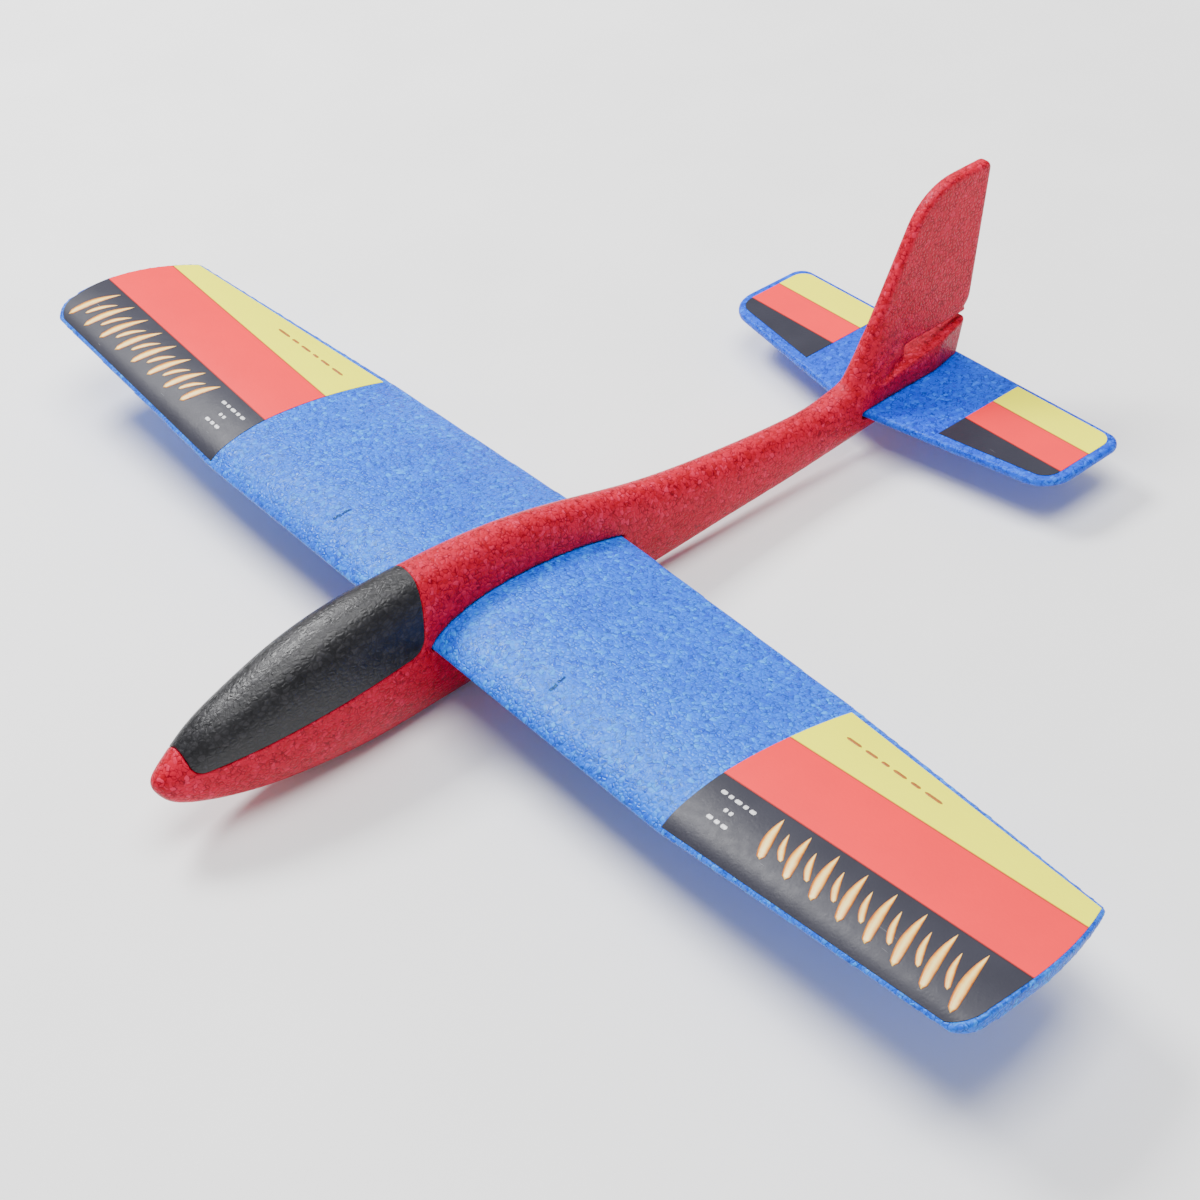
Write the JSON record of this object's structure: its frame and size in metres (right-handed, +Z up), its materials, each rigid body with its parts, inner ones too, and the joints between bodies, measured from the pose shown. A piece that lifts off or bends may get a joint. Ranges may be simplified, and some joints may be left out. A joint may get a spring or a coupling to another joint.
{
  "type": "foam glider",
  "caption": "Hand-launched free-flight foam glider: blue wing halves with raised tip panels on a joiner rod, pod-and-boom fuselage with integral fin, slot-in tailplane, black canopy.",
  "frame": {"origin": "on the plane of symmetry, half way from nose to fin tip, at the level of the belly land", "axes": "+Z up, the nose points along -Y, the port wing lies along +X"},
  "size_m": [0.5964, 0.4356, 0.1112],
  "materials": {
    "foam_red": "moulded bead foam, satin skin",
    "foam_blue": "moulded bead foam, satin skin",
    "canopy_shell": "painted foam shell, semi-gloss",
    "ballast_steel": "plain turned steel",
    "glass_fibre": "pultruded glass-fibre rod",
    "film_black": "printed adhesive film, satin",
    "film_red": "printed adhesive film, satin",
    "film_yellow": "printed adhesive film, satin"
  },
  "bodies": {
    "fuselage": {"fuselage": "foam_red", "canopy": "canopy_shell", "nose_ballast": "ballast_steel", "joiner_rod": "glass_fibre"},
    "wing_left": {"wing_left": "foam_blue", "wing_left_band_black": "film_black", "wing_left_band_red": "film_red", "wing_left_band_yellow": "film_yellow"},
    "wing_right": {"wing_right": "foam_blue", "wing_right_band_black": "film_black", "wing_right_band_red": "film_red", "wing_right_band_yellow": "film_yellow"},
    "tailplane": {"tailplane": "foam_blue", "tail_left_band_black": "film_black", "tail_left_band_red": "film_red", "tail_left_band_yellow": "film_yellow", "tail_right_band_black": "film_black", "tail_right_band_red": "film_red", "tail_right_band_yellow": "film_yellow"}
  },
  "joints": [
    {"name": "wing_left_pull", "type": "slide", "parent": "fuselage", "child": "wing_left", "axis": [1, 0, 0], "range_m": [0, 0.085]},
    {"name": "wing_right_pull", "type": "slide", "parent": "fuselage", "child": "wing_right", "axis": [-1, 0, 0], "range_m": [0, 0.085]},
    {"name": "tailplane_pull", "type": "slide", "parent": "fuselage", "child": "tailplane", "axis": [0, 1, 0], "range_m": [0, 0.075]}
  ]
}
